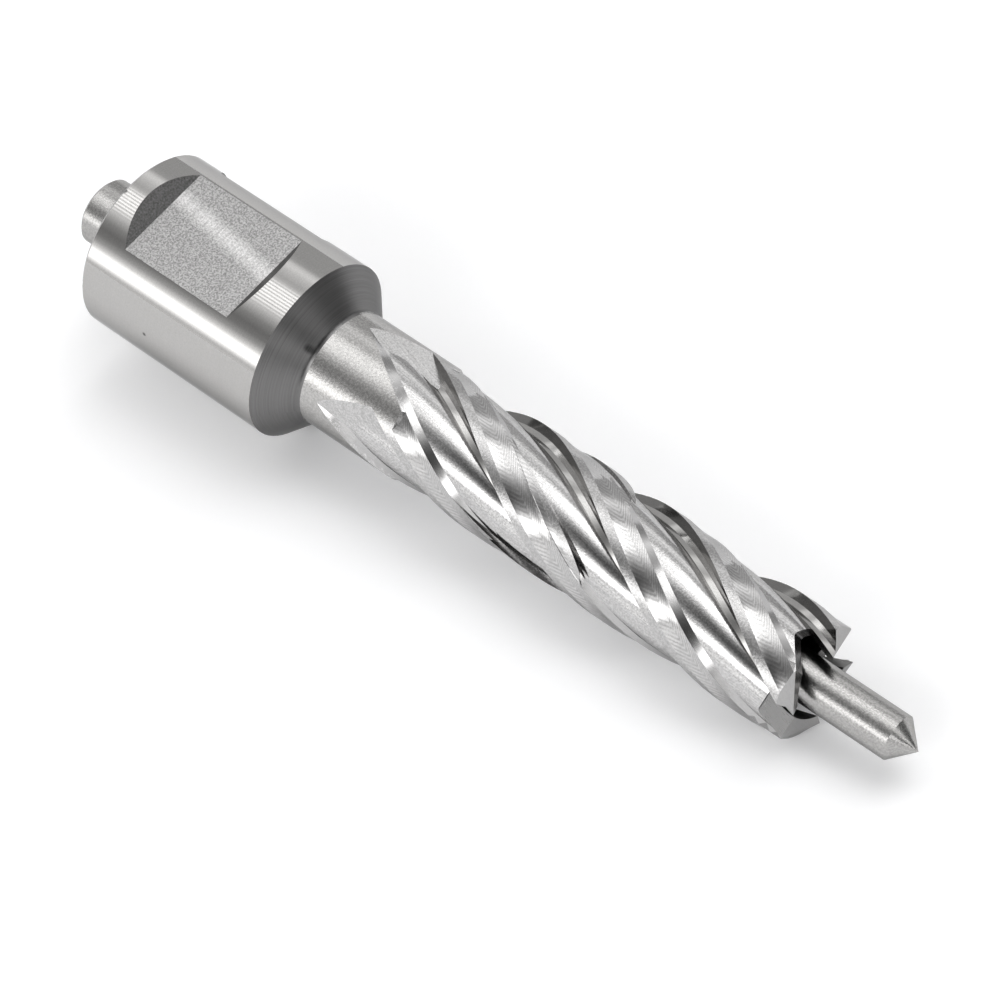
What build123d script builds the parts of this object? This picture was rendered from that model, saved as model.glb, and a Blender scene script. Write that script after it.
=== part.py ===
import os
from math import cos, radians, sin, tan

from build123d import *

# Frame: millimetres. +X runs along the axis of the cutter, from the shank to the teeth.
# The origin is on the axis, at the front rim of the shank. The first drive flat faces +Z and the
# second faces +Y. Angles round the axis are in degrees, from +Y towards +Z, which is also the way
# the cutter turns in use.

# Shank
shank_diameter = 19.05
shank_length = 22.4
shank_chamfer = 0.3
flat_depth = 1.7
flat_length = 13.3
flat_center = 11.8
flat_end_slope = 48.0
flat_angles = (90.0, 0.0)

# Shoulder and neck
cutter_diameter = 12.3
shoulder_slope = 46.4
shoulder_fillet = 0.6

# Flutes: radii and angles of the section, ahead of each leading edge, with two breaks that join
# the radial wall to the floor
flute_count = 4
flute_start = 4.0
flute_lead = 61.0
flute_phase = -30.0
wall_foot_radius = 5.25
foot_width = 0.75
foot_break_angles = (90, 45, 0)
floor_middle_radius = 5.0
floor_middle_angle = 21.0
floor_back_radius = 5.5
floor_back_angle = 50.2
facet_top_radius = 5.92
facet_top_angle = 58.0

# Flute run-outs, cut by the rim of a large wheel
runout_wheel_radius = 100.0
runout_center = 13.3
runout_ahead = 30.7
runout_depth_radius = 4.99
runout_helix = 32.5
runout_tilt = 13.0
runout_drop = 20.0
runout_arc = 10.0

# Land clearance
land_margin = 10.3
clearance_radius = 5.92
clearance_ramp_angle = 22.5
clearance_span = 18.0
clearance_start = 14.2
clearance_start_length = 0.3

# Teeth, with alternating corners and one bevel for each end face
tooth_corners = (60.45, 60.8)
bevel_angle = 29.7
bevel_turn = -20.7

# Gullet behind each tooth: widths are measured from the axis, heights from the tooth's corner and
# turns round the axis from it
gullet_turn = 55.4
gullet_depth = 2.4
gullet_radius = 0.54
crest_slope = 18.6
back_slope = 41.9
bottom_rise = 18.0
front_turn = 20.5
front_width = -0.91
front_lean = 24.6

# Bore
cavity_diameter = 7.2
cavity_depth = 48.6
drill_point = 118.0
bore_chamfer = 0.4

# Pilot pin
pin_diameter = 4.66
pin_clearance = 0.05
pin_projection = 11.82
pin_point = 90.0
head_diameter = 7.14
head_length = 6.0
head_chamfer = 0.3

# Reach of the cutting shapes past the part
past_end = 2.7
past_rim = 1.2
far = 100.0

# Derived places
shank_radius = shank_diameter / 2
cutter_radius = cutter_diameter / 2
cavity_radius = cavity_diameter / 2
pin_radius = pin_diameter / 2
pin_hole_radius = pin_radius + pin_clearance
twist_rate = 360 / flute_lead
pitch_angle = 360 / flute_count
blank_end = max(tooth_corners) + past_end
outside = cutter_radius + past_rim


def edge_angle(x):
    """Angle of the first leading edge at a place along the axis."""
    return flute_phase + twist_rate * x


def polar(radius, angle):
    """Point of the section plane, with +Y as its first axis and +Z as its second."""
    return (radius * cos(radians(angle)), radius * sin(radians(angle)))


def around(x, radius, angle):
    """Point of space at a place along the axis, a distance from it and an angle round it."""
    y, z = polar(radius, angle)
    return Vector(x, y, z)


def turned(points):
    """Solid turned about the X axis from an outline of (x, radius) points."""
    outline = Polyline(*[(x, radius) for x, radius in points], close=True)
    return revolve(make_face(outline), Axis.X)


def shank_and_blank():
    """Round blank: chamfered shank, cone shoulder with its fillet and the plain cutting length."""
    cone_length = (shank_radius - cutter_radius) / tan(radians(shoulder_slope))
    outline = Polyline(
        (-shank_length, 0),
        (-shank_length, shank_radius - shank_chamfer),
        (-shank_length + shank_chamfer, shank_radius),
        (0, shank_radius),
        (cone_length, cutter_radius),
        (blank_end, cutter_radius),
        (blank_end, 0),
        close=True,
    )
    face = make_face(outline)
    root = face.vertices().sort_by_distance((cone_length, cutter_radius, 0))[0]
    return revolve(fillet(root, shoulder_fillet), Axis.X)


def drive_flat(angle):
    """Milled pocket of one drive flat, with sloped end walls."""
    run = 2 * flat_depth / tan(radians(flat_end_slope))
    floor = shank_radius - flat_depth
    half = flat_length / 2
    outline = Polyline(
        (-flat_center - half, floor),
        (-flat_center + half, floor),
        (-flat_center + half + run, floor + 2 * flat_depth),
        (-flat_center - half - run, floor + 2 * flat_depth),
        close=True,
    )
    pocket = extrude(make_face(outline), shank_radius, both=True)
    return pocket.rotate(Axis.X, angle)


def flute_section():
    """Section of one flute's cutter, ahead of a leading edge at angle 0."""
    wall_end = Vector(*polar(outside, 0))
    foot_center = Vector(wall_foot_radius, foot_width)
    foot = [foot_center - Vector(*polar(foot_width, angle)) for angle in foot_break_angles]
    floor_middle = Vector(*polar(floor_middle_radius, floor_middle_angle))
    floor_back = Vector(*polar(floor_back_radius, floor_back_angle))
    facet_top = Vector(*polar(facet_top_radius, facet_top_angle))
    cover_middle = Vector(*polar(outside + past_rim, facet_top_angle / 2))
    along_facet = (facet_top - floor_back).normalized()
    facet_end = facet_top + along_facet * 2 * (outside - facet_top_radius)
    edges = [
        Polyline(wall_end, *foot),
        ThreePointArc(foot[-1], floor_middle, floor_back),
        Line(floor_back, facet_end),
        ThreePointArc(facet_end, cover_middle, wall_end),
    ]
    return make_face(edges)


def clearance_section():
    """Section ground off a land behind its margin, with the leading edge at angle 0."""
    margin_end = Vector(*polar(cutter_radius, -land_margin))
    ramp_foot = Vector(*polar(clearance_radius, -clearance_ramp_angle))
    along_ramp = (ramp_foot - margin_end).normalized()
    back_angle = -clearance_ramp_angle - clearance_span
    back = Vector(*polar(outside, back_angle))
    cover_middle = Vector(*polar(outside + past_rim, -clearance_ramp_angle))
    ramp_end = margin_end - along_ramp * past_rim * 2
    ramp_start = ramp_foot + along_ramp * past_rim
    edges = [
        Polyline(ramp_end, ramp_start, Vector(*polar(floor_back_radius, back_angle)), back),
        ThreePointArc(back, cover_middle, ramp_end),
    ]
    return make_face(edges)


def twisted(section, start, end):
    """Section carried along the axis from start to end, turning at the flutes' lead."""
    placed = Plane.YZ.offset(start) * Rot(0, 0, edge_angle(start)) * section
    travel = Vector(end - start, 0, 0)
    turn = twist_rate * (end - start)
    return Solid.extrude_linear_with_rotation(placed.face(), Vector(start, 0, 0), travel, turn)


def wheel_limit():
    """Space that the flute wheel reaches: an arc up to the surface at the shank's end of a flute,
    and everything towards the teeth."""
    angle = edge_angle(runout_center) + runout_ahead
    out = around(0, 1, angle)
    round_axis = around(0, 1, angle + 90)
    helix = radians(runout_helix)
    tilt = radians(runout_tilt)
    along = Vector(cos(helix), 0, 0) + round_axis * sin(helix)
    across = round_axis * cos(helix) - Vector(sin(helix), 0, 0)
    plane = Plane(
        origin=around(runout_center, runout_depth_radius, angle),
        x_dir=along,
        z_dir=across * cos(tilt) + out * sin(tilt),
    )
    center = Vector(0, runout_wheel_radius)
    back = center + Vector(*polar(runout_wheel_radius, -90 - runout_arc))
    middle = center + Vector(*polar(runout_wheel_radius, -90 - runout_arc / 2))
    edges = [
        ThreePointArc(back, middle, Vector(0, 0)),
        Polyline((0, 0), (far, -far * tan(radians(runout_drop))), (far, cutter_diameter)),
        Polyline((far, cutter_diameter), (back.X, cutter_diameter), back),
    ]
    return extrude(plane * make_face(edges), far, both=True)


def flute_cutter():
    """All that one pass of the flute wheel removes."""
    return twisted(flute_section(), flute_start, blank_end) & wheel_limit()


def clearance_cutter():
    """All that is ground off one land, with a short ramp square to the axis at its start."""
    depth = cutter_radius - clearance_radius
    slope = depth / clearance_start_length
    limit = turned([
        (clearance_start - cutter_radius / slope, 2 * cutter_radius),
        (clearance_start + cutter_radius / slope, 0),
        (blank_end, 0),
        (blank_end, 2 * cutter_radius),
    ])
    ground = twisted(clearance_section(), clearance_start - past_end, blank_end) & limit
    kept = Cylinder(clearance_radius, far, rotation=(0, 90, 0))
    return ground - kept


def bevel_cutter(corner_x, corner_angle):
    """Everything in front of a tooth's end face."""
    slope = radians(bevel_angle)
    normal = Vector(cos(slope), 0, 0) + around(0, 1, corner_angle + bevel_turn) * sin(slope)
    plane = Plane(origin=around(corner_x, cutter_radius, corner_angle), z_dir=normal)
    return plane * Box(far, far, cutter_diameter, align=(Align.CENTER, Align.CENTER, Align.MIN))


def gullet_cutter(corner_x, corner_angle):
    """Space behind a tooth's crest, down to the round bottom and up to the inner face of the tooth
    that follows, which leans with the flutes."""
    bottom_width = -gullet_depth / tan(radians(back_slope))
    outline = Polyline(
        (0, 0),
        (far, far * tan(radians(crest_slope))),
        (far, far),
        (-far, far),
        (-far, (far + bottom_width) * tan(radians(bottom_rise)) - gullet_depth),
        (bottom_width, -gullet_depth),
        close=True,
    )
    face = make_face(outline)
    root = face.vertices().sort_by(Axis.Y)[0]
    face = fillet(root, gullet_radius)
    turn = corner_angle + gullet_turn
    plane = Plane(origin=(corner_x, 0, 0), x_dir=around(0, 1, turn), z_dir=around(0, 1, turn - 90))
    lean = radians(front_lean)
    across = around(0, 1, corner_angle + front_turn)
    front = Plane(
        origin=Vector(corner_x, 0, 0) + across * front_width,
        z_dir=across * cos(lean) - Vector(sin(lean), 0, 0),
    )
    ahead = front * Box(far, far, far, align=(Align.CENTER, Align.CENTER, Align.MIN))
    return extrude(plane * face, cutter_diameter) & ahead


def stepped_bore():
    """Pin hole with its chamfer, opening into the wide bore through a drill point."""
    floor = tooth_corners[0] - cavity_depth
    cone = (cavity_radius - pin_hole_radius) / tan(radians(drill_point / 2))
    back = -shank_length
    return turned([
        (back, 0),
        (back, pin_hole_radius + bore_chamfer),
        (back + bore_chamfer, pin_hole_radius),
        (floor - cone, pin_hole_radius),
        (floor, cavity_radius),
        (blank_end, cavity_radius),
        (blank_end, 0),
    ])


def cutter_body():
    """Shank, neck, fluted wall and teeth, all one piece."""
    body = shank_and_blank()
    for angle in flat_angles:
        body -= drive_flat(angle)
    flute = flute_cutter()
    clearance = clearance_cutter()
    for tooth in range(flute_count):
        body -= flute.rotate(Axis.X, tooth * pitch_angle)
        body -= clearance.rotate(Axis.X, tooth * pitch_angle)
    body -= stepped_bore()
    for tooth in range(flute_count):
        corner_x = tooth_corners[tooth % len(tooth_corners)]
        corner_angle = edge_angle(corner_x) + tooth * pitch_angle
        body -= bevel_cutter(corner_x, corner_angle)
        body -= gullet_cutter(corner_x, corner_angle)
    return body


def pilot_pin():
    """Round head, long pin and conical point, turned in one."""
    tip = tooth_corners[0] + pin_projection
    point_length = pin_radius / tan(radians(pin_point / 2))
    back = -shank_length - head_length
    head_radius = head_diameter / 2
    return turned([
        (back, 0),
        (back, head_radius - head_chamfer),
        (back + head_chamfer, head_radius),
        (-shank_length, head_radius),
        (-shank_length, pin_radius),
        (tip - point_length, pin_radius),
        (tip, 0),
    ])


os.makedirs("parts", exist_ok=True)
export_step(cutter_body(), "parts/cutter_body.step")
export_step(pilot_pin(), "parts/pilot_pin.step")
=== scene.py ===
import math

import bpy
from mathutils import Matrix, Vector


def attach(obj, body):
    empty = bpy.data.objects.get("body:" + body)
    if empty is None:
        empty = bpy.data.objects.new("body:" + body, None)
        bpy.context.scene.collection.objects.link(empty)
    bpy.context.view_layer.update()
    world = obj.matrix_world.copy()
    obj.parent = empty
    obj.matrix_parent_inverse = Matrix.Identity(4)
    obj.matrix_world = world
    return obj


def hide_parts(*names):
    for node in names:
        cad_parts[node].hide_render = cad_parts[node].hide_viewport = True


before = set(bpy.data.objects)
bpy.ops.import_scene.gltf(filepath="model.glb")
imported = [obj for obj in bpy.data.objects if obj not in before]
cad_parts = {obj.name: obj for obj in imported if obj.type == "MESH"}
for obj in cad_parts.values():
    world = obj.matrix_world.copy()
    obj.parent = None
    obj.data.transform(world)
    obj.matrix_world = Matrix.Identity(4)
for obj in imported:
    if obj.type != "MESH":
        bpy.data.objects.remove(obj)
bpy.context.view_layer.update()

# +X runs along the axis of the cutter, from the shank to the teeth, with 0 at the front rim of
# the shank. Angles round the axis are in degrees, from +Y towards +Z. Lengths are in millimetres
# except where a comment says metres. The scene itself is in metres.
mm = 0.001

# Shank and shoulder
shank_radius = 9.525
shank_back = -22.4
back_chamfer = 0.4
flat_middle = -11.8
shoulder_end = 3.7

# Flutes, in a section turned with them, where the leading edge of a tooth lies at angle 0.
# Points of the section are a radius and an angle.
cutter_radius = 6.15
flute_pitch = 360 / 4
flute_lead = 61.0
flute_phase = -30.0
foot_start = 5.25
foot_angles = (67.5, 22.5)
foot_end = Vector((4.5, 0.75))
floor_middle = (5.0, 21.0)
floor_end = (5.5, 50.2)
facet_top = (5.92, 58.0)
land_radius = 5.92
land_margin = 10.3
ramp_angle = 22.5
land_end_angle = 32.0

# Along the axis: where the margins begin, the run-outs end, and the gullets and teeth begin
margin_start = 13.5
runout_end = 17.0
gullet_start = 52.0
teeth_start = 57.6

# Slopes of the teeth's end faces from the axis, and the bore
end_face_slopes = (29.7, 18.6)
cavity_radius = 3.6

# Small dark marks: place along the axis, angle round it, size
shank_pit = (-13.8, 168.2, 0.28)
shank_nick = (-22.15, 96.2, 0.34)
neck_stain = (2.75, 114.2, 0.55)
mark_core = 0.35

# Tints of the steel, and how much of its light is left where it is seen at a low angle
warm = (1.0, 0.985, 0.965)
plain = (1.0, 0.99, 0.985)
edge_shade = 0.62

# Camera of the photograph
camera_place = Vector((169.28, -124.25, 304.46))
camera_right = Vector((0.76072, 0.64084, -0.10313))
camera_up = Vector((-0.50952, 0.68802, 0.51674))
camera_lens = 137.65
sensor_width = 36.0
camera_side_angle = 112.2

# Table that the cutter lies on, nose down on the shoulder's rim and the tips of two teeth.
# Its half width is in metres.
table_up_angle = 85.7
table_tilt = 4.0
table_reach = 3.0
table_color = (0.90, 0.90, 0.905, 1.0)
table_glow = (0.98, 0.985, 1.0, 1.0)
table_glow_strength = 0.16

# Soft lamp over the table
lamp_strength = 0.55
lamp_spread = 50.0
lamp_lean = -28.0

# Room light as bands that run along the cutter. Each is half of the angle from the camera's side
# and the light that comes from there.
room_bands = (
    (-90, 0.5), (-80, 0.5), (-70, 0.5), (-56, 0.47), (-44, 0.45), (-40, 0.5), (-37, 0.9),
    (-35, 1.0), (-31, 0.78), (-26, 0.6), (-24, 0.66), (-22, 0.95), (-20, 1.35), (-12, 1.4),
    (-7, 1.2), (-4, 0.85), (-1, 0.6), (3, 0.34), (8, 0.22), (12, 0.27), (16, 0.5), (19.5, 1.1),
    (21.5, 2.0), (26.5, 2.0), (28.5, 1.1), (30, 0.72), (34, 0.95), (40, 0.9), (90, 0.9),
)
room_level = 1.3
# The bands slant: degrees for each unit of the direction along the axis, its start and its most
band_slant = 34.5
slant_start = -0.46
slant_most = 0.35
# Fine stripes of the panel overhead, and the two soft ends of the bands that have them
stripe_width = 2.0
stripe_depth = 0.55
stripes_begin = (-23, -20)
stripes_end = (-8, -3)
# Changes along the axis: between which two directions, and how much
contrast_rise = ((-0.35, -0.05), 0.7)
dark_rise = ((0.02, 0.38), 0.85)
tip_light_rise = ((0.85, 0.93), 0.5)


def around(x, radius, angle):
    """Point at a place along the axis, a distance from it and an angle round it."""
    turn = math.radians(angle)
    return Vector((x, radius * math.cos(turn), radius * math.sin(turn)))


def polar(radius, angle):
    """Point of the section plane."""
    return Vector((radius * math.cos(math.radians(angle)), radius * math.sin(math.radians(angle))))


def add_to_scene(name, data):
    """Object for a mesh, a lamp or a camera."""
    piece = bpy.data.objects.new(name, data)
    bpy.context.scene.collection.objects.link(piece)
    return piece


class Val:
    """A socket of a shader tree, with arithmetic that adds Math nodes."""

    def __init__(self, tree, socket):
        self.tree = tree
        self.socket = socket

    def math(self, operation, *others):
        sockets = dict(enumerate((self,) + others))
        return make(self.tree, "ShaderNodeMath", {"operation": operation}, sockets)

    def __add__(self, other):
        return self.math("ADD", other)

    __radd__ = __add__

    def __mul__(self, other):
        return self.math("MULTIPLY", other)

    __rmul__ = __mul__

    def __sub__(self, other):
        return self.math("SUBTRACT", other)

    def __rsub__(self, other):
        return (self * -1.0) + other

    def __truediv__(self, other):
        return self.math("DIVIDE", other)

    def __pow__(self, other):
        return self.math("POWER", other)

    def ramp(self, *stops):
        """Value looked up between (place, level) stops."""
        return make(self.tree, "ShaderNodeValToRGB", {"stops": stops}, {0: self})

    def within(self, low, high):
        """Share of the way from low to high, held between 0 and 1."""
        sockets = {0: self, 1: low, 2: high, 3: 0.0, 4: 1.0}
        return make(self.tree, "ShaderNodeMapRange", {"clamp": True}, sockets)


def fill(node, sockets):
    """Give each socket of a node its value or its link."""
    for name, value in sockets.items():
        if isinstance(value, Val):
            value.tree.links.new(value.socket, node.inputs[name])
        else:
            node.inputs[name].default_value = value


def make(tree, kind, settings=None, sockets=None, out=0):
    """A node with its settings and the values or links of its sockets; returns one output."""
    node = tree.nodes.new(kind)
    for name, value in (settings or {}).items():
        if name == "stops":
            ramp = node.color_ramp
            while len(ramp.elements) > 1:
                ramp.elements.remove(ramp.elements[-1])
            for index, (place, level) in enumerate(value):
                stop = ramp.elements[0] if index == 0 else ramp.elements.new(place)
                stop.position = place
                stop.color = (level, level, level, 1.0)
        else:
            setattr(node, name, value)
    fill(node, sockets or {})
    return Val(tree, node.outputs[out])


class Places:
    """Where a shaded point lies, in millimetres and degrees of the cutter."""

    def __init__(self, tree):
        self.tree = tree
        coordinates = make(tree, "ShaderNodeTexCoord", out="Object")
        split = make(tree, "ShaderNodeSeparateXYZ", {}, {0: coordinates}).socket.node
        self.x, self.y, self.z = (Val(tree, output) / mm for output in split.outputs)
        self.radius = (self.y * self.y + self.z * self.z).math("SQRT")
        self.angle = self.z.math("ARCTAN2", self.y) * (180 / math.pi)
        # Angle ahead of the nearest leading edge
        helix = self.angle - self.x * (360 / flute_lead) - flute_phase
        self.ahead = helix.math("WRAP", flute_pitch - land_end_angle, -land_end_angle)

    def grain(self, along, across, outwards=1.0, turned=False, detail=2.0):
        """Noise between 0 and 1, from the marks per millimetre in three directions: along the
        axis, and then across and outwards, which follow Y and Z or, turned, the round."""
        side = self.angle * (math.pi / 180) * self.radius if turned else self.y
        far = self.radius if turned else self.z
        vector = make(
            self.tree, "ShaderNodeCombineXYZ", {},
            {0: self.x * along, 1: side * across, 2: far * outwards},
        )
        return make(
            self.tree, "ShaderNodeTexNoise", {"noise_dimensions": "3D"},
            {"Vector": vector, "Scale": 1.0, "Detail": detail, "Roughness": 0.6},
        )

    def ripple(self, *marks, **options):
        """The same noise about 0, from -0.5 to 0.5."""
        return self.grain(*marks, **options) - 0.5

    def sparkle(self, size):
        """Speckle with a strong contrast, between 0 and 1."""
        return self.grain(1 / size, 1 / size, 1 / size, detail=1.0).within(0.36, 0.66)

    def near(self, mark):
        """1 in the core of a small round mark, and 0 outside it."""
        x, angle, size = mark
        along = self.x - x
        across = (self.angle - angle) * (math.pi / 180) * self.radius
        distance = (along * along + across * across).math("SQRT")
        return 1.0 - distance.within(size * mark_core, size)


# Patterns of the finishes. Each takes the places and gives four things: a shade near 1, what it
# adds to the roughness, a height, and the depth of that height in millimetres.

def ground_shank(at):
    """Cylindrical grinding: very fine marks round the shank, a pit and a nick."""
    marks = at.ripple(14.0, 0.5, turned=True)
    pits = at.near(shank_pit) + at.near(shank_nick)
    shade = 0.97 - pits * 0.8 + marks * 0.10 + at.sparkle(0.16) * 0.06
    return shade, marks * 0.03, marks, 0.0005


def ground_flat(at):
    """Surface grinding: matt speckle and marks across the flat, and a painted highlight, a
    brighter slanting streak in the colour that stands in for a lamp's reflection and makes the
    marks show more there.
    """
    speckle = at.ripple(7.0, 7.0, 7.0, detail=3.0)
    cross = at.ripple(9.0, 0.25, 0.25)
    # Painted highlight: a bright slanting streak in the colour stands in for the reflection of a
    # lamp, and the marks across the flat are made stronger inside it.
    middle = 1.45 - (at.x - flat_middle) * 0.145
    painted_highlight = 1.0 - (at.y - middle).math("ABSOLUTE").within(0.2, 1.4)
    shade = 0.55 + at.sparkle(0.19) * 0.5 + speckle * 0.6
    shade = shade + cross * 0.7 * (painted_highlight + 0.5) + painted_highlight * 0.5
    return shade, speckle * 0.12, speckle * 0.6 + cross * 0.4, 0.006


def milled_wall(at):
    """Coarse dark cutter marks."""
    speckle = at.ripple(5.0, 5.0, 5.0, detail=4.0)
    return 0.78 + speckle * 1.6, speckle * 0.2, speckle, 0.01


def turned_face(at):
    """Lathe marks: fine rings at every radius, stronger in some bands."""
    rings = at.ripple(0.2, 0.08, 11.0, turned=True)
    bands = at.grain(0.02, 0.02, 2.3, turned=True)
    shade = 0.95 + rings * 0.8 * (bands + 0.3) - at.near(neck_stain) * 0.6
    return shade, rings * 0.12, rings, 0.004


def frosted_neck(at):
    """Satin with a fine random grain, and a stain at the neck's root."""
    speckle = at.sparkle(0.2)
    shade = 0.87 + speckle * 0.26 - at.near(neck_stain) * 0.7
    return shade, speckle * 0.03, speckle, 0.0022


def ground_floor(at):
    """Speckled, with fine lines along the axis."""
    speckle = at.sparkle(0.18)
    lines = at.ripple(0.15, 5.5, 0.5, turned=True)
    return 0.86 + speckle * 0.28 + lines * 0.6, speckle * 0.03, speckle, 0.0015


def smooth_wall(at):
    """Smooth, with faint marks along the flute."""
    marks = at.ripple(0.6, 6.0, 6.0)
    return 1.0 + marks * 0.25, marks * 0.05, marks, 0.001


def land_arcs(at):
    """Arcs left by the grinding wheel, bent where the ramp meets the round of the land."""
    arc_pitch = 0.30
    across = (at.ahead + ramp_angle) * (math.pi / 180) * land_radius
    bend = (across * across + 0.02).math("SQRT")
    wave = at.x * 0.62 + bend * 0.9 + at.grain(0.4, 0.4, 0.4) * 0.25
    lines = (wave / arc_pitch * (2 * math.pi)).math("SINE")
    uneven = at.grain(0.7, 0.7, 0.7).within(0.25, 0.6)
    speckle = at.ripple(5.0, 5.0, 5.0, detail=3.0)
    shade = 0.91 + lines * uneven * 0.16 + at.sparkle(0.2) * 0.12
    return shade, speckle * 0.06, speckle, 0.001


def tooth_grain(at):
    """Straight fine marks of the tool grinder."""
    marks = at.ripple(1.0, 9.0, 1.0)
    speckle = at.ripple(4.0, 4.0, 4.0)
    return 1.0 + marks * 0.2 + speckle * 0.12, marks * 0.06, marks, 0.0012


def ground_pin(at):
    """Fine random grain with a faint drawn line along the pin."""
    speckle = at.sparkle(0.18)
    drawn = at.ripple(0.4, 8.0, turned=True)
    return 0.87 + speckle * 0.26 + drawn * 0.2, speckle * 0.03, speckle, 0.002


def new_material(name):
    """A material, its tree and its shader."""
    material = bpy.data.materials.new(name)
    material.use_nodes = True
    tree = material.node_tree
    return material, tree, tree.nodes["Principled BSDF"]


def steel(name, level, tint, roughness, pattern):
    """Steel finish of a brightness, a tint and a roughness, changed by its pattern."""
    material, tree, shader = new_material(name)
    shade, dullness, height, depth = pattern(Places(tree))
    color = {i: shade * (level * part) for i, part in enumerate(tint)}
    bump = {"Strength": 1.0, "Distance": depth * mm, "Height": height}
    fill(shader, {
        "Metallic": 1.0,
        "Specular Tint": (edge_shade, edge_shade, edge_shade, 1.0),
        "Base Color": make(tree, "ShaderNodeCombineColor", {}, color),
        "Roughness": dullness + roughness,
        "Normal": make(tree, "ShaderNodeBump", {}, bump),
    })
    return material


body_finishes = {
    "shank": steel("shank_ground", 0.46, warm, 0.06, ground_shank),
    "flat": steel("flat_ground", 0.44, plain, 0.30, ground_flat),
    "flat_wall": steel("flat_end_milled", 0.30, plain, 0.35, milled_wall),
    "shoulder": steel("shoulder_turned", 0.19, plain, 0.34, turned_face),
    "neck": steel("neck_satin", 0.46, warm, 0.17, frosted_neck),
    "runout": steel("runout_ground", 0.52, plain, 0.20, ground_floor),
    "floor": steel("floor_ground", 0.52, plain, 0.13, ground_floor),
    "foot": steel("foot_polished", 0.46, warm, 0.12, smooth_wall),
    # Painted shade: the flute's wall has the foot's finish at about half its brightness, a darker
    # copy that stands in for the dark reflection on it.
    "wall": steel("wall_smooth_painted_shade", 0.24, warm, 0.12, smooth_wall),
    "facet": steel("facet_ground", 0.46, plain, 0.16, smooth_wall),
    "margin": steel("margin_ground", 0.48, plain, 0.20, frosted_neck),
    "land": steel("land_ground", 0.50, plain, 0.12, land_arcs),
    "tooth": steel("tooth_face_ground", 0.40, plain, 0.25, tooth_grain),
    # Painted shade: the gullets have the teeth's ground finish made darker, a shaded copy that
    # stands in for the shade in these hollows between the teeth.
    "gullet": steel("gullet_ground_painted_shade", 0.28, plain, 0.28, tooth_grain),
    # Painted shade: the bore has the milled finish at a fraction of its brightness, nearly black,
    # standing in for the shade inside the hole.
    "bore": steel("bore_painted_shade", 0.08, warm, 0.35, milled_wall),
}
pin_finishes = {"pin": steel("pin_ground", 0.40, warm, 0.21, ground_pin)}


def floor_arc():
    """Centre and radius of the arc of a flute's floor, through its two ends and a middle point."""
    run, reach = polar(*floor_middle) - foot_end, polar(*floor_end) - foot_end
    cross = 2 * (run.x * reach.y - run.y * reach.x)
    center = foot_end + Vector((
        reach.y * run.length_squared - run.y * reach.length_squared,
        run.x * reach.length_squared - reach.x * run.length_squared,
    )) / cross
    return center, (center - foot_end).length


floor_center, floor_radius = floor_arc()
facet_line = (polar(*floor_end), polar(*facet_top))
ramp_line = (polar(land_radius, -ramp_angle), polar(cutter_radius, -land_margin))


def in_section(point):
    """Point of the turned section that a point in space lies on, and the turn back."""
    helix = flute_phase + 360 / flute_lead * point.x
    angle = math.degrees(math.atan2(point.z, point.y)) - helix
    tooth = math.floor((angle + land_end_angle) / flute_pitch)
    turn = helix + tooth * flute_pitch
    return polar(math.hypot(point.y, point.z), angle - tooth * flute_pitch), turn


def line_normal(line):
    """Unit normal of a section line."""
    run = (line[1] - line[0]).normalized()
    return Vector((run.y, -run.x))


def round_normal(point):
    """Unit normal of a cylinder round the axis."""
    return Vector((0, point.y, point.z)).normalized()


def helical(point, section_normal, turn):
    """Normal in space of a surface that follows the flutes, from its normal in the section."""
    turn = math.radians(turn)
    y = section_normal.x * math.cos(turn) - section_normal.y * math.sin(turn)
    z = section_normal.x * math.sin(turn) + section_normal.y * math.cos(turn)
    rate = 2 * math.pi / flute_lead
    return Vector((-rate * (z * point.y - y * point.z), y, z)).normalized()


# What tells the surfaces of the body apart: distances, then angles in the section, then parts of
# a unit normal, and how alike two normals of one surface are at a face and at a corner
close = 0.1
close_to_cylinder = 0.02
close_to_land = 0.05
wall_reach = 1.0
foot_reach = 10.0
steep = 0.5
inward = -0.4
shoulder_part = 0.12
crest_part = 0.3
square_on = 0.999
end_face_match = 0.006
face_likeness = 0.985
corner_likeness = 0.97


def flute_normals(point):
    """Finish and exact normal of each ground surface that passes close to a point."""
    place, turn = in_section(point)
    ahead = math.degrees(math.atan2(place.y, place.x))
    found = []
    if ahead < wall_reach and place.length > foot_start - close:
        found.append(("wall", helical(point, Vector((0, 1)), turn)))
    if ahead < foot_reach and place.length < foot_start + close:
        found += [("foot", helical(point, polar(1.0, angle), turn)) for angle in foot_angles]
    if abs((place - floor_center).length - floor_radius) < close:
        found.append(("floor", helical(point, (place - floor_center) / floor_radius, turn)))
    if ahead > floor_end[1] - wall_reach:
        found.append(("facet", helical(point, line_normal(facet_line), turn)))
    if ahead < 0.0:
        found.append(("land", helical(point, line_normal(ramp_line), turn)))
        found.append(("land", round_normal(point)))
    return found


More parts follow.
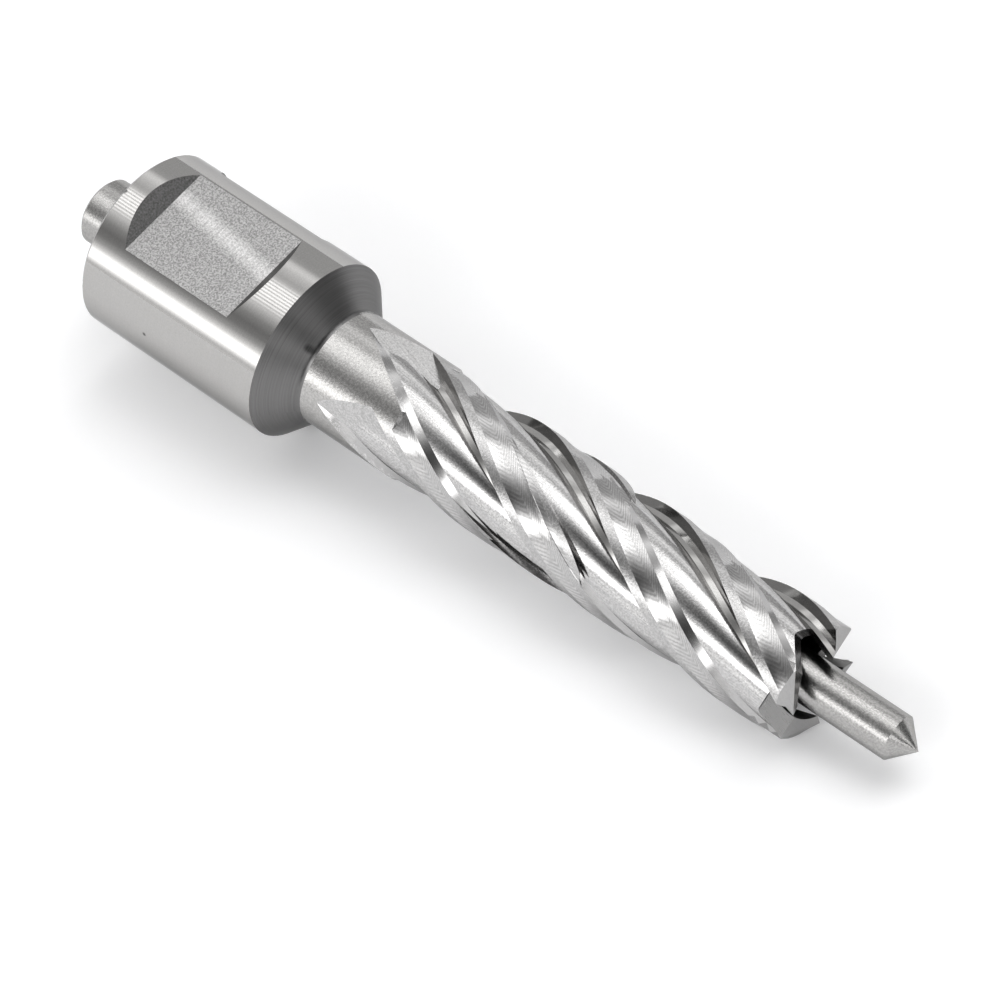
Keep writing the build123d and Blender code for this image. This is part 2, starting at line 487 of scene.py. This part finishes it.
def body_region(center, normal):
    """Name of the finish of a face of the body, from its middle and its normal."""
    radius = math.hypot(center.y, center.z)
    outward = normal.dot(round_normal(center))
    if radius < cavity_radius + close and (outward < inward or center.x < teeth_start):
        return "bore" if center.x > shank_back + 1.0 else "shoulder"
    if center.x < shank_back + back_chamfer + close and normal.x < -steep:
        return "shank" if radius > shank_radius - back_chamfer else "shoulder"
    if center.x < 0.0:
        if abs(normal.x) > steep:
            return "flat_wall"
        on_flat = radius < shank_radius - close and max(normal.y, normal.z) > square_on
        return "flat" if on_flat else "shank"
    if center.x < shoulder_end and normal.x > shoulder_part:
        return "shoulder"
    for slope in end_face_slopes:
        if abs(normal.x - math.cos(math.radians(slope))) < end_face_match:
            return "tooth"
    if center.x > teeth_start and normal.x > crest_part:
        return "gullet"
    if radius > cutter_radius - close_to_cylinder:
        return "neck" if center.x < margin_start else "margin"
    nearest, likeness = "runout" if center.x < runout_end else "gullet", face_likeness
    for region, exact in flute_normals(center):
        if exact.dot(normal) > likeness:
            nearest, likeness = region, exact.dot(normal)
    if nearest == "gullet" and center.x < gullet_start:
        return "land" if radius > land_radius - close_to_land else "floor"
    return nearest


def body_normal(region, point, face_normal, corner_normal):
    """Normal of the exact surface at a corner, or the mesh's own where no rule gives it."""
    if region in ("shank", "neck", "margin"):
        exact = [round_normal(point)]
    else:
        exact = [normal for name, normal in flute_normals(point) if name == region]
    nearest = max(exact, key=corner_normal.dot, default=corner_normal)
    return nearest if nearest.dot(corner_normal) > corner_likeness else corner_normal


def pin_region(center, normal):
    """The pin has one finish."""
    return "pin"


def pin_normal(region, point, face_normal, corner_normal):
    """Round on the pin's length and head, flat on its ends, and the mesh's own on its point."""
    if abs(face_normal.x) < 0.05:
        return round_normal(point)
    return face_normal.copy() if abs(face_normal.x) > 0.99 else corner_normal


def dressed(node, finishes, region_of, exact_normal):
    """Visible piece: a new mesh of a CAD node's triangles with each shared corner made once, a
    finish for each face and the exact surfaces' normals. The node itself is left alone."""
    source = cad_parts[node].data
    number, faces, normals = {}, [], []
    for face in source.polygons:
        points = [tuple(source.vertices[i].co) for i in face.vertices]
        corners = [number.setdefault(point, len(number)) for point in points]
        if len(set(corners)) == len(corners):
            faces.append(corners)
            normals += [source.corner_normals[i].vector.copy() for i in face.loop_indices]
    mesh = bpy.data.meshes.new(node + "_finish")
    mesh.from_pydata(list(number), [], faces)
    mesh.update()
    for material in finishes.values():
        mesh.materials.append(material)
    names = list(finishes)
    places = [vertex.co / mm for vertex in mesh.vertices]
    for face in mesh.polygons:
        center = sum((places[i] for i in face.vertices), Vector()) / len(face.vertices)
        region = region_of(center, face.normal)
        face.material_index = names.index(region)
        face.use_smooth = True
        for loop, i in zip(face.loop_indices, face.vertices):
            normals[loop] = exact_normal(region, places[i], face.normal, normals[loop])
    mesh.normals_split_custom_set([tuple(normal) for normal in normals])
    return add_to_scene(node + "_finish", mesh)


body = dressed("cutter_body", body_finishes, body_region, body_normal)
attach(body, "cutter")
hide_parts("cutter_body")

pin = dressed("pilot_pin", pin_finishes, pin_region, pin_normal)
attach(pin, "pin")
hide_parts("pilot_pin")


def table():
    """White table under the cutter, tilted as the cutter rests on it."""
    tilt = math.radians(table_tilt)
    up = Vector((-math.sin(tilt), 0, 0)) + around(0, 1, table_up_angle) * math.cos(tilt)
    rim = around(0.0, shank_radius * mm, table_up_angle + 180)
    along = (Vector((1, 0, 0)) - up * up.x).normalized()
    side = up.cross(along)
    corners = [
        tuple(rim + (along * a + side * b) * table_reach)
        for a, b in ((-1, -1), (1, -1), (1, 1), (-1, 1))
    ]
    mesh = bpy.data.meshes.new("table")
    mesh.from_pydata(corners, [], [(0, 1, 2, 3)])
    piece = add_to_scene("table", mesh)
    material, tree, shader = new_material("table_white")
    fill(shader, {
        "Base Color": table_color,
        "Roughness": 1.0,
        "Specular IOR Level": 0.0,
        "Emission Color": table_glow,
        "Emission Strength": table_glow_strength,
    })
    mesh.materials.append(material)


table()


def studio():
    """Room light: a soft panel overhead, a striped panel beside it, a low panel at the right and a
    darker side at the camera and towards the teeth, all as bands round the axis of the cutter."""
    world = bpy.data.worlds.new("studio")
    bpy.context.scene.world = world
    world.use_nodes = True
    tree = world.node_tree
    direction = make(tree, "ShaderNodeTexCoord", out="Generated")

    def along(axis):
        sockets = {0: direction, 1: tuple(axis)}
        return make(tree, "ShaderNodeVectorMath", {"operation": "DOT_PRODUCT"}, sockets, out=1)

    def rise(change):
        directions, amount = change
        return forward.within(*directions) * amount

    forward = along((1, 0, 0))
    to_camera = along(around(0, 1, camera_side_angle))
    to_side = along(around(0, 1, camera_side_angle + 90))
    half_angle = to_side.math("ARCTAN2", to_camera) * (90 / math.pi)
    band = half_angle + (forward - slant_start).math("MINIMUM", slant_most) * band_slant
    brightest = max(light for angle, light in room_bands)
    stops = [((angle + 90) / 180, light / brightest) for angle, light in room_bands]
    level = (band / 180.0 + 0.5).ramp(*stops)
    stripes = (band * (2 * math.pi / stripe_width)).math("SINE") * stripe_depth
    striped = band.within(*stripes_begin) * (1.0 - band.within(*stripes_end))
    level = level * (1.0 + stripes * striped) * (brightest * room_level)
    level = level ** (1.0 + rise(contrast_rise))
    level = level * (1.0 - rise(dark_rise) + rise(tip_light_rise))
    fill(tree.nodes["Background"], {"Color": level, "Strength": 1.0})


studio()


def overhead_lamp():
    """Soft lamp from above and behind, which lights the table and draws the cutter's shadow."""
    data = bpy.data.lights.new("overhead_lamp", "SUN")
    data.energy = lamp_strength
    data.angle = math.radians(lamp_spread)
    lamp = add_to_scene("overhead_lamp", data)
    lamp.visible_glossy = False
    toward = around(0, 1, table_up_angle + lamp_lean)
    lamp.rotation_euler = toward.to_track_quat("Z", "Y").to_euler()


overhead_lamp()


def photo_camera():
    """Camera at the place and angle of the photograph."""
    data = bpy.data.cameras.new("photo_camera")
    data.lens = camera_lens
    data.sensor_width = sensor_width
    # Metres
    data.clip_start = 0.01
    data.clip_end = 20.0
    camera = add_to_scene("photo_camera", data)
    back = camera_right.cross(camera_up)
    turn = Matrix((camera_right, camera_up, back)).transposed().to_4x4()
    camera.matrix_world = Matrix.Translation(camera_place * mm) @ turn
    bpy.context.scene.camera = camera


photo_camera()
bpy.context.scene.view_settings.view_transform = "Standard"
